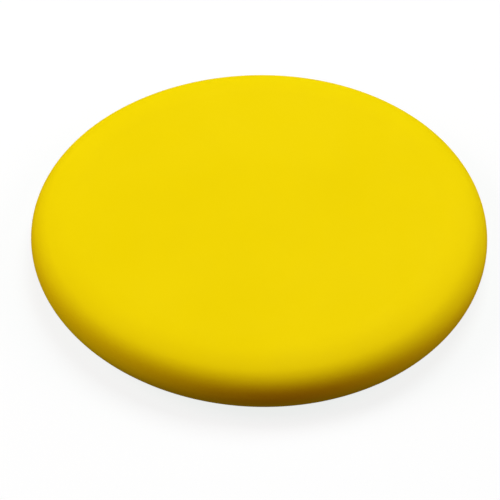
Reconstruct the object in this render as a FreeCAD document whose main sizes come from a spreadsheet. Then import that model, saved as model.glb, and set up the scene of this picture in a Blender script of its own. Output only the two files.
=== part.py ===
"""Soft throwing disc: a moulded foam core sealed between two thin bonded skins.

The disc lies on its rim. The origin is the centre of the resting face, and +Z is
the disc's axis. Every piece is turned about Z, and lengths are in millimetres:

  foam_core       the plate and the thick rim, moulded in one piece
  outer_skin      covers the top, the rounded edge and the resting face
  underside_skin  lines the hollow and meets outer_skin at the hollow's mouth
"""

import FreeCAD
import Part
import Sketcher

import math
import os
from types import SimpleNamespace

# The driving dimensions. The edge is a full round of tangent arcs: a shoulder above and
# one below, which reach in to the flat faces, and a nose round the widest circle. The
# hollow has a round at its mouth, a sloping wall and a round up to its flat ceiling.
SIZES = {
    "disc_radius": 125.0,
    "disc_thickness": 30.0,
    "edge_reach": 23.0,
    "nose_radius": 13.5,
    "plate_thickness": 14.0,
    "mouth_radius": 97.0,
    "mouth_round": 6.0,
    "ceiling_radius": 81.0,
    "ceiling_round": 9.0,
    "skin_thickness": 0.5,
}
SIZE = SimpleNamespace(**SIZES)
SHEET = "sizes"
PARTS_FOLDER = "parts"

# Sketcher's numbers for an edge's two ends and its centre, and for a sketch's own axes.
START, END, CENTRE = 1, 2, 3
H_AXIS, V_AXIS = -1, -2


def make_sheet(doc):
    """Puts each driving dimension in an aliased cell of a spreadsheet."""
    sheet = doc.addObject("Spreadsheet::Sheet", SHEET)
    for row, (alias, value) in enumerate(SIZES.items(), start=1):
        sheet.set(f"A{row}", alias)
        sheet.set(f"B{row}", str(value))
        sheet.setAlias(f"B{row}", alias)
    doc.recompute()


def vector(place):
    return FreeCAD.Vector(place[0], place[1], 0)


class Outline:
    """Draws a half section in a sketch, where x is the radius and y the height.

    Each edge is drawn where it belongs, and its constraints then hold it to the sheet.
    """

    def __init__(self, sketch):
        self.sketch = sketch

    def line(self, start, end):
        return self.sketch.addGeometry(Part.LineSegment(vector(start), vector(end)))

    def arc(self, centre, radius, start_angle, end_angle):
        """An arc that runs anticlockwise between two angles from the x axis."""
        circle = Part.Circle(vector(centre), FreeCAD.Vector(0, 0, 1), radius)
        return self.sketch.addGeometry(Part.ArcOfCircle(circle, start_angle, end_angle))

    def spot(self, edge, end):
        return self.sketch.getPoint(edge, end)

    def hold(self, *constraint):
        return self.sketch.addConstraint(Sketcher.Constraint(*constraint))

    def bridge(self, one, one_end, other, other_end):
        """Closes the section with a straight line between two free ends."""
        line = self.line(self.spot(one, one_end), self.spot(other, other_end))
        self.hold("Coincident", line, START, one, one_end)
        self.hold("Coincident", line, END, other, other_end)

    def dimension(self, formula, *constraint):
        """A dimension that follows an expression on the spreadsheet."""
        index = self.hold(*constraint)
        for alias in SIZES:
            formula = formula.replace(alias, f"<<{SHEET}>>.{alias}")
        self.sketch.setExpression(f"Constraints[{index}]", formula)

    def across(self, edge, end, formula):
        """Sets how far a point lies from the disc's axis."""
        self.dimension(formula, "DistanceX", edge, end, self.spot(edge, end).x)

    def up(self, edge, end, formula):
        """Sets how high a point lies above the resting face."""
        self.dimension(formula, "DistanceY", edge, end, self.spot(edge, end).y)

    def radius(self, edge, formula):
        self.dimension(formula, "Radius", edge, self.sketch.Geometry[edge].Radius)


def draw_edge(outline, inset):
    """The top face, the rounded edge and the resting face, from the axis to the mouth.

    An inset of the skin's thickness gives the skin's inner side. Returns the first edge,
    which starts on the axis, and the last, whose end is left free to slide to the mouth.
    """
    less_skin = " - skin_thickness" if inset else ""
    half = SIZE.disc_thickness / 2
    flat_radius = SIZE.disc_radius - SIZE.edge_reach
    reach = SIZE.edge_reach - SIZE.nose_radius
    shoulder = (half**2 + reach**2 - SIZE.nose_radius**2) / (2 * (half - SIZE.nose_radius))
    turn = math.atan2(shoulder - half, reach)
    top = SIZE.disc_thickness - inset
    top_centre = (flat_radius, SIZE.disc_thickness - shoulder)
    nose_centre = (SIZE.disc_radius - SIZE.nose_radius, half)

    top_face = outline.line((0, top), (flat_radius, top))
    upper = outline.arc(top_centre, shoulder - inset, turn, math.pi / 2)
    nose = outline.arc(nose_centre, SIZE.nose_radius - inset, -turn, turn)
    lower = outline.arc((flat_radius, shoulder), shoulder - inset, -math.pi / 2, -turn)
    resting_face = outline.line((flat_radius, inset), (SIZE.mouth_radius, inset))

    outline.hold("Tangent", top_face, END, upper, END)
    outline.hold("Tangent", upper, START, nose, END)
    outline.hold("Tangent", nose, START, lower, END)
    outline.hold("Tangent", lower, START, resting_face, START)
    outline.hold("PointOnObject", top_face, START, V_AXIS)
    outline.hold("Horizontal", top_face)
    outline.hold("Horizontal", resting_face)
    outline.up(top_face, START, "disc_thickness" + less_skin)
    outline.across(top_face, END, "disc_radius - edge_reach")
    outline.across(nose, CENTRE, "disc_radius - nose_radius")
    outline.up(nose, CENTRE, "disc_thickness / 2")
    outline.radius(nose, "nose_radius" + less_skin)
    outline.across(resting_face, START, "disc_radius - edge_reach")
    if inset:
        outline.up(resting_face, START, "skin_thickness")
    else:
        outline.hold("PointOnObject", resting_face, START, H_AXIS)
    return top_face, resting_face


def draw_hollow(outline, inset):
    """The mouth's round, the wall, the round above it and the ceiling, up to the axis.

    An inset of the skin's thickness gives the skin's inner side. Returns the round at the
    mouth, whose lower end is left free to move up or down, and the ceiling.
    """
    plus_skin = " + skin_thickness" if inset else ""
    height = SIZE.disc_thickness - SIZE.plate_thickness
    mouth_centre = vector((SIZE.mouth_radius, SIZE.mouth_round))
    ceiling_centre = vector((SIZE.ceiling_radius, height - SIZE.ceiling_round))
    between = mouth_centre - ceiling_centre
    rounds = SIZE.mouth_round + SIZE.ceiling_round
    slope = math.atan2(between.y, between.x) + math.acos(rounds / between.Length)

    mouth = outline.arc(mouth_centre, SIZE.mouth_round - inset, math.pi + slope, 1.5 * math.pi)
    corner = outline.arc(ceiling_centre, SIZE.ceiling_round + inset, slope, math.pi / 2)
    wall = outline.line(outline.spot(mouth, START), outline.spot(corner, START))
    ceiling = outline.line((SIZE.ceiling_radius, height + inset), (0, height + inset))

    outline.hold("Vertical", mouth, END, mouth, CENTRE)
    outline.hold("Tangent", mouth, START, wall, START)
    outline.hold("Tangent", wall, END, corner, START)
    outline.hold("Tangent", corner, END, ceiling, START)
    outline.hold("Horizontal", ceiling)
    outline.hold("PointOnObject", ceiling, END, V_AXIS)
    outline.across(mouth, CENTRE, "mouth_radius")
    outline.up(mouth, CENTRE, "mouth_round")
    outline.across(corner, CENTRE, "ceiling_radius")
    outline.up(corner, CENTRE, "disc_thickness - plate_thickness - ceiling_round")
    outline.radius(corner, "ceiling_round" + plus_skin)
    return mouth, ceiling


def foam_core(outline):
    """Everything inside the skins."""
    top_face, resting_face = draw_edge(outline, SIZE.skin_thickness)
    mouth, ceiling = draw_hollow(outline, SIZE.skin_thickness)
    outline.hold("Coincident", resting_face, END, mouth, END)
    outline.bridge(ceiling, END, top_face, START)


def outer_skin(outline):
    """A thin band that follows the edge from the axis to the mouth."""
    top_outside, rest_outside = draw_edge(outline, 0)
    top_inside, rest_inside = draw_edge(outline, SIZE.skin_thickness)
    outline.across(rest_outside, END, "mouth_radius")
    outline.across(rest_inside, END, "mouth_radius")
    outline.bridge(rest_outside, END, rest_inside, END)
    outline.bridge(top_inside, START, top_outside, START)


def underside_skin(outline):
    """A thin band that follows the hollow from the mouth to the axis."""
    mouth_outside, ceiling_outside = draw_hollow(outline, 0)
    mouth_inside, ceiling_inside = draw_hollow(outline, SIZE.skin_thickness)
    outline.hold("PointOnObject", mouth_outside, END, H_AXIS)
    outline.up(mouth_inside, END, "skin_thickness")
    outline.bridge(mouth_inside, END, mouth_outside, END)
    outline.bridge(ceiling_outside, END, ceiling_inside, END)


def turned_body(doc, draw):
    """A body named after its section, which is drawn on XZ and turned about Z."""
    name = draw.__name__
    body = doc.addObject("PartDesign::Body", name)
    body.Label = name
    section = body.newObject("Sketcher::SketchObject", f"{name}_section")
    plane = next(f for f in body.Origin.OriginFeatures if f.Role == "XZ_Plane")
    section.AttachmentSupport = [(plane, "")]
    section.MapMode = "FlatFace"
    doc.recompute()
    draw(Outline(section))
    doc.recompute()
    turned = body.newObject("PartDesign::Revolution", f"{name}_turned")
    turned.Profile = section
    turned.ReferenceAxis = (section, ["V_Axis"])
    turned.Angle = 360
    doc.recompute()
    return body, section


def check(doc, bodies, sections):
    """Stops the script at a failed object, a loose sketch or a shape that isn't one solid."""
    failed = [o.Name for o in doc.Objects if {"Invalid", "Error"} & set(o.State)]
    if failed:
        raise RuntimeError(f"these objects failed: {failed}")
    loose = [s.Name for s in sections if not s.FullyConstrained]
    if loose:
        raise RuntimeError(f"these sketches aren't fully constrained: {loose}")
    for body in bodies:
        shape = body.Shape
        if shape.isNull() or not shape.isValid() or len(shape.Solids) != 1:
            raise RuntimeError(f"{body.Label} isn't one valid solid")


def main():
    doc = FreeCAD.newDocument("throwing_disc")
    make_sheet(doc)
    made = [turned_body(doc, draw) for draw in (foam_core, outer_skin, underside_skin)]
    bodies, sections = zip(*made)
    check(doc, bodies, sections)
    os.makedirs(PARTS_FOLDER, exist_ok=True)
    for body in bodies:
        body.Shape.exportStep(os.path.join(PARTS_FOLDER, f"{body.Label}.step"))
        print(f"{body.Label}: {body.Shape.Volume / 1000:.2f} cm3")


main()
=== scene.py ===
"""Soft-foam throwing disc, lying on its rim on a pale studio floor.

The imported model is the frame. Its three nodes are replaced by finely turned meshes of the
same sections, drawn slightly out of round as soft foam is, with the skin's grain on them.
"""

import math

import bmesh
import bpy
from mathutils import Matrix, Vector


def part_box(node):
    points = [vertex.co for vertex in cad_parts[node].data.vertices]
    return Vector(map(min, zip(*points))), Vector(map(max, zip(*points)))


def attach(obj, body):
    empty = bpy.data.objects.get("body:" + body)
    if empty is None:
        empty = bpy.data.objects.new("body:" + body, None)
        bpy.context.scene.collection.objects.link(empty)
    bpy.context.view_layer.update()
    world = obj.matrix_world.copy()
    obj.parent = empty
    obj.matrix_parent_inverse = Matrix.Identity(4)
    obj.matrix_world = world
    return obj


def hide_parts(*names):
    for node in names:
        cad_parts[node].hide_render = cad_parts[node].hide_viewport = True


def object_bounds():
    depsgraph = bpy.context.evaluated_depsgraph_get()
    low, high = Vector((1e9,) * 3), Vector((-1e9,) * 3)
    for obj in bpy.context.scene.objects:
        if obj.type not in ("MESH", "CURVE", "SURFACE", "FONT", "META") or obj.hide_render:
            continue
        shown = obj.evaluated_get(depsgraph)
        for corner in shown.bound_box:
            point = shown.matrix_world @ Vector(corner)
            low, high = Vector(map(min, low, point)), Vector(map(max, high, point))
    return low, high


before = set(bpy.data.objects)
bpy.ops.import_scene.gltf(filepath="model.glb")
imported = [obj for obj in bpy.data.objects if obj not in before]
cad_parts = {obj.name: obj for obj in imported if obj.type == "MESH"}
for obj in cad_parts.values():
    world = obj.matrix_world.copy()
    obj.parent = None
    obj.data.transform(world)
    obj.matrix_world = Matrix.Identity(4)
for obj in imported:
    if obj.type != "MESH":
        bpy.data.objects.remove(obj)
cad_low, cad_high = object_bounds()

# ---------------------------------------------------------------- sizes, in metres
# The frame gives the heights. The rest are the sections' own driving dimensions.
THICKNESS = cad_high.z
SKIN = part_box("foam_core")[0].z
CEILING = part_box("underside_skin")[1].z - SKIN
RADIUS = 0.125
EDGE_REACH = 0.023
NOSE_RADIUS = 0.0135
MOUTH_RADIUS = 0.097
MOUTH_ROUND = 0.006
CEILING_RADIUS = 0.081
CEILING_ROUND = 0.009

# The round on each skin's corner, where the two meet and leave a fine seam.
LIP = 0.0002

# The outline is a little out of round, as soft foam is: shallow lobes, whose height is a
# share of the radius, with the first at this angle. They fade quickly inside the edge.
LOBES = 3
LOBE_HEIGHT = 0.005
LOBE_ANGLE = math.radians(51)
FADE_POWER = 3

# How finely the meshes follow the sections, along them and round the axis.
CURVED_STEP = 0.0011
STRAIGHT_STEP = 0.005
FEWEST_STEPS = 4
SEGMENTS = 320
SHARP_ANGLE = math.radians(50)


# ---------------------------------------------------------------- half sections
def steps(length, step):
    return max(FEWEST_STEPS, math.ceil(length / step))


def arc(centre, radius, start, end):
    """Points on an arc between two angles in radians, both ends included."""
    count = steps(radius * abs(end - start), CURVED_STEP)
    angles = [start + (end - start) * i / count for i in range(count + 1)]
    return [(centre[0] + radius * math.cos(a), centre[1] + radius * math.sin(a)) for a in angles]


def run(start, end):
    """Points on a straight run, both ends included."""
    count = steps(math.dist(start, end), STRAIGHT_STEP)
    shares = [i / count for i in range(count + 1)]
    return [tuple((1 - t) * a + t * b for a, b in zip(start, end)) for t in shares]


def chain(*stretches):
    """Joins stretches that share their end points."""
    points = list(stretches[0])
    for stretch in stretches[1:]:
        points.extend(stretch[1:])
    return points


def edge_section(inset, lip=0.0):
    """From the axis, over the top and round the edge to the mouth of the hollow.

    A lip rounds the corner at the end, where the two skins meet.
    """
    half = THICKNESS / 2
    reach = EDGE_REACH - NOSE_RADIUS
    flat = RADIUS - EDGE_REACH
    shoulder = (half**2 + reach**2 - NOSE_RADIUS**2) / (2 * (half - NOSE_RADIUS))
    turn = math.atan2(shoulder - half, reach)
    top = THICKNESS - inset
    corner = [(MOUTH_RADIUS, inset)]
    if lip:
        corner = arc((MOUTH_RADIUS + lip, inset + lip), lip, 1.5 * math.pi, math.pi)
    return chain(
        run((0, top), (flat, top)),
        arc((flat, THICKNESS - shoulder), shoulder - inset, math.pi / 2, turn),
        arc((RADIUS - NOSE_RADIUS, half), NOSE_RADIUS - inset, turn, -turn),
        arc((flat, shoulder), shoulder - inset, -turn, -math.pi / 2),
        run((flat, inset), corner[0]),
        corner,
    )


def hollow_section(inset, lip=0.0):
    """From the mouth, up the wall and across the ceiling to the axis.

    A lip rounds the corner at the start, where the two skins meet.
    """
    mouth = Vector((MOUTH_RADIUS, MOUTH_ROUND))
    ceiling = Vector((CEILING_RADIUS, CEILING - CEILING_ROUND))
    between = mouth - ceiling
    rounds = MOUTH_ROUND + CEILING_ROUND
    slope = math.atan2(between.y, between.x) + math.acos(rounds / between.length)
    bottom = 1.5 * math.pi
    corner = []
    if lip:
        corner = arc((MOUTH_RADIUS - lip, inset + lip), lip, 0, -math.pi / 2)[:-1]
        bottom -= math.asin(lip / MOUTH_ROUND)
    lower = arc(mouth, MOUTH_ROUND - inset, bottom, math.pi + slope)
    upper = arc(ceiling, CEILING_ROUND + inset, slope, math.pi / 2)
    flat = run((CEILING_RADIUS, CEILING + inset), (0, CEILING + inset))
    return corner + chain(lower, run(lower[-1], upper[0]), upper, flat)


# ---------------------------------------------------------------- pieces
def place(radius, height, angle):
    """The point of a section at an angle round the axis, out of round near the edge."""
    wave = LOBE_HEIGHT * math.cos(LOBES * (angle - LOBE_ANGLE))
    radius *= 1 + wave * (radius / RADIUS) ** FADE_POWER
    return (radius * math.cos(angle), radius * math.sin(angle), height)


def turned(name, section):
    """A closed mesh turned about Z from a half section, whose ends are joined.

    A point on the axis makes a ring of a single vertex, so its faces are triangles.
    """
    mesh = bmesh.new()
    rings = []
    for radius, height in section:
        angles = [2 * math.pi * i / SEGMENTS for i in range(SEGMENTS if radius else 1)]
        rings.append([mesh.verts.new(place(radius, height, angle)) for angle in angles])
    for ring, following in zip(rings, rings[1:] + rings[:1]):
        for i in range(SEGMENTS):
            corners = ((ring, i), (following, i), (following, i + 1), (ring, i + 1))
            face = list(dict.fromkeys(loop[k % len(loop)] for loop, k in corners))
            if len(face) > 2:
                mesh.faces.new(face)
    bmesh.ops.recalc_face_normals(mesh, faces=mesh.faces)
    data = bpy.data.meshes.new(name)
    mesh.to_mesh(data)
    mesh.free()
    data.shade_smooth()
    data.set_sharp_from_angle(angle=SHARP_ANGLE)
    piece = bpy.data.objects.new(name, data)
    bpy.context.scene.collection.objects.link(piece)
    return piece


foam = turned("foam", chain(edge_section(SKIN), hollow_section(SKIN)))
outer = turned("outer_coat", edge_section(0, LIP) + edge_section(SKIN)[::-1])
under = turned("underside_coat", hollow_section(0, LIP) + hollow_section(SKIN)[::-1])


# ---------------------------------------------------------------- materials
# The mix node's sockets: its share, and the two colours.
MIX_SHARE, MIX_ONE, MIX_OTHER = 0, 6, 7

COAT_YELLOWS = ((0.885, 0.664, 0.0), (0.905, 0.682, 0.001))
# The foam's colour at the bottom of a pit, darker as painted shade, and its own pale yellow.
FOAM_PIT_SHADE_AND_YELLOW = ((0.72, 0.58, 0.22), (0.86, 0.75, 0.38))


class Tree:
    """Adds nodes to a material or a world."""

    def __init__(self, owner):
        owner.use_nodes = True
        self.nodes = owner.node_tree.nodes
        self.links = owner.node_tree.links
        self.place = self.add("ShaderNodeTexCoord").outputs

    def fill(self, node, values):
        """Sets a node's inputs, or links them where the value is another node's output."""
        for key, value in values.items():
            if isinstance(value, bpy.types.NodeSocket):
                self.links.new(value, node.inputs[key])
            else:
                node.inputs[key].default_value = value

    def add(self, kind, values=None, **settings):
        node = self.nodes.new(kind)
        for key, value in settings.items():
            setattr(node, key, value)
        self.fill(node, values or {})
        return node

    def noise(self, scale, detail=2.0):
        values = {"Scale": scale, "Detail": detail, "Vector": self.place["Object"]}
        return self.add("ShaderNodeTexNoise", values).outputs["Fac"]

    def cells(self, scale):
        """Rounded cells, whose pattern is lowest at each cell's middle."""
        values = {"Scale": scale, "Smoothness": 0.7, "Vector": self.place["Object"]}
        return self.add("ShaderNodeTexVoronoi", values, feature="SMOOTH_F1").outputs["Distance"]

    def spread(self, source, ends, middle=(0.35, 0.65), interpolation="LINEAR"):
        """Maps a pattern's middle range onto two end values."""
        values = {
            "Value": source,
            "From Min": middle[0],
            "From Max": middle[1],
            "To Min": ends[0],
            "To Max": ends[1],
        }
        node = self.add("ShaderNodeMapRange", values, interpolation_type=interpolation)
        return node.outputs["Result"]

    def blend(self, share, one, other):
        """A colour between two, by a pattern that runs from 0 to 1."""
        values = {MIX_SHARE: share, MIX_ONE: (*one, 1), MIX_OTHER: (*other, 1)}
        return self.add("ShaderNodeMix", values, data_type="RGBA").outputs[2]

    def bump(self, height, distance, under=None):
        """A relief of a real depth in metres, laid over another relief if one is given."""
        values = {"Height": height, "Distance": distance}
        if under:
            values["Normal"] = under
        return self.add("ShaderNodeBump", values).outputs["Normal"]


def coat_material(name):
    """A matte, solid yellow coating with a very fine pebble grain and faint patches."""
    material = bpy.data.materials.new(name)
    tree = Tree(material)
    patches = tree.spread(tree.noise(scale=14, detail=4), ends=(0, 1))
    pebbles = tree.bump(tree.cells(scale=1700), distance=0.00003)
    coat = {
        "Base Color": tree.blend(patches, *COAT_YELLOWS),
        "Roughness": tree.spread(tree.noise(scale=60, detail=3), ends=(0.66, 0.78)),
        "Specular IOR Level": 0.02,
        "Normal": tree.bump(tree.noise(scale=320), distance=0.00002, under=pebbles),
    }
    tree.fill(tree.nodes["Principled BSDF"], coat)
    return material


def foam_material():
    """Closed-cell foam: pale yellow, dull, and pitted all over, with painted shade darker in each
    pit.
    """
    material = bpy.data.materials.new("foam_cells")
    tree = Tree(material)
    pits = tree.cells(scale=900)
    # Painted shade: the colour darkens towards each pit's middle, where the relief is lowest.
    depth = tree.spread(pits, ends=(0, 1), middle=(0.1, 0.6))
    cells = {
        "Base Color": tree.blend(depth, *FOAM_PIT_SHADE_AND_YELLOW),
        "Roughness": tree.spread(tree.noise(scale=80), ends=(0.85, 0.97)),
        "Specular IOR Level": 0.2,
        "Normal": tree.bump(pits, distance=0.0002),
    }
    tree.fill(tree.nodes["Principled BSDF"], cells)
    return material


foam.data.materials.append(foam_material())
outer.data.materials.append(coat_material("outer_coating"))
under.data.materials.append(coat_material("underside_coating"))

for piece, node, slot in (
    (foam, "foam_core", "foam"),
    (outer, "outer_skin", "outer_skin"),
    (under, "underside_skin", "underside_skin"),
):
    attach(piece, "root")
    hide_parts(node)

# ---------------------------------------------------------------- studio
# The floor's glow beside the disc and far from it, and the distances it rises between.
FLOOR_GLOW = (0.83, 1.14)
GLOW_RISE = (0.2, 1.0)

# The world's glow from below and from above, and the heights it changes between.
WORLD_GLOWS = ((0.14, 0.14, 0.14), (0.14, 0, 0))
WORLD_TURN = (-0.2, 0.2)

scene = bpy.context.scene
scene.view_settings.view_transform = "Standard"
scene.view_settings.look = "None"


def floor_material():
    """Pale and matte, with a glow that rises to white away from the disc.

    The glow keeps the contact shadow faint, and leaves no horizon against the backdrop.
    """
    material = bpy.data.materials.new("pale_floor")
    tree = Tree(material)
    reach = tree.add("ShaderNodeVectorMath", {0: tree.place["Object"]}, operation="LENGTH")
    away = reach.outputs["Value"]
    pale = {
        "Base Color": (0.2, 0.17, 0.17, 1),
        "Roughness": 1.0,
        "Specular IOR Level": 0.0,
        "Emission Color": (0.965, 1, 1, 1),
        "Emission Strength": tree.spread(away, FLOOR_GLOW, GLOW_RISE, "SMOOTHSTEP"),
    }
    tree.fill(tree.nodes["Principled BSDF"], pale)
    return material


def studio_floor(side):
    """A square floor that sends no light of its own to the disc and blocks none."""
    mesh = bpy.data.meshes.new("floor")
    half = side / 2
    corners = [(-half, -half, 0), (half, -half, 0), (half, half, 0), (-half, half, 0)]
    mesh.from_pydata(corners, [], [(0, 1, 2, 3)])
    mesh.materials.append(floor_material())
    floor = bpy.data.objects.new("floor", mesh)
    floor.visible_diffuse = False
    floor.visible_glossy = False
    floor.visible_shadow = False
    scene.collection.objects.link(floor)
    return floor


def studio_world():
    """A warm glow from above and a grey one from below, before a white backdrop."""
    world = bpy.data.worlds.new("studio")
    tree = Tree(world)
    height = tree.add("ShaderNodeSeparateXYZ", {"Vector": tree.place["Generated"]}).outputs["Z"]
    share = tree.spread(height, (0, 1), WORLD_TURN, "SMOOTHSTEP")
    ambient = tree.nodes["Background"]
    tree.fill(ambient, {"Color": tree.blend(share, *WORLD_GLOWS)})
    backdrop = tree.add("ShaderNodeBackground", {"Color": (1, 1, 1, 1)})
    seen = tree.add("ShaderNodeLightPath").outputs["Is Camera Ray"]
    shown = {0: seen, 1: ambient.outputs["Background"], 2: backdrop.outputs["Background"]}
    mix = tree.add("ShaderNodeMixShader", shown)
    tree.fill(tree.nodes["World Output"], {"Surface": mix.outputs["Shader"]})
    return world


def softbox(name, azimuth, elevation, distance, size, radiance):
    """A square area light that faces the disc. Angles in degrees, azimuth from +X."""
    light = bpy.data.lights.new(name, "AREA")
    light.shape = "SQUARE"
    light.size = size
    peak = max(radiance)
    light.color = [part / peak for part in radiance]
    light.energy = peak * math.pi * size**2
    lamp = bpy.data.objects.new(name, light)
    turn = math.radians(azimuth)
    rise = math.radians(elevation)
    away = Vector((math.cos(turn) * math.cos(rise), math.sin(turn) * math.cos(rise), math.sin(rise)))
    lamp.location = away * distance
    lamp.rotation_mode = "QUATERNION"
    lamp.rotation_quaternion = away.to_track_quat("Z", "Y")
    lamp.visible_camera = False
    scene.collection.objects.link(lamp)


studio_floor(side=60.0)
scene.world = studio_world()
softbox(
    "key",
    azimuth=71,
    elevation=62,
    distance=3.57,
    size=1.9,
    radiance=(5.4, 7.6, 7.6),
)
softbox(
    "left",
    azimuth=178,
    elevation=37,
    distance=1.85,
    size=1.13,
    radiance=(4.4, 4.3, 4.3),
)
softbox(
    "right",
    azimuth=6,
    elevation=31.5,
    distance=1.85,
    size=1.13,
    radiance=(3.2, 2.9, 2.9),
)


# ---------------------------------------------------------------- camera
def front_camera(lens, elevation, distance, aim, roll):
    """A camera in front of the disc and above it, with a small roll. Angles in degrees."""
    data = bpy.data.cameras.new("camera")
    data.lens = lens
    camera = bpy.data.objects.new("camera", data)
    scene.collection.objects.link(camera)
    middle = Vector((0, 0, THICKNESS / 2))
    rise = math.radians(elevation)
    spot = middle + distance * Vector((0, -math.cos(rise), math.sin(rise)))
    look = (middle + Vector(aim) - spot).to_track_quat("-Z", "Y").to_matrix()
    tilt = Matrix.Rotation(math.radians(roll), 3, "Z")
    camera.matrix_world = Matrix.Translation(spot) @ (look @ tilt).to_4x4()
    return camera


scene.camera = front_camera(
    lens=147.4,
    elevation=43.8,
    distance=1.125,
    aim=(-0.0054, -0.0166, 0),
    roll=0.2,
)
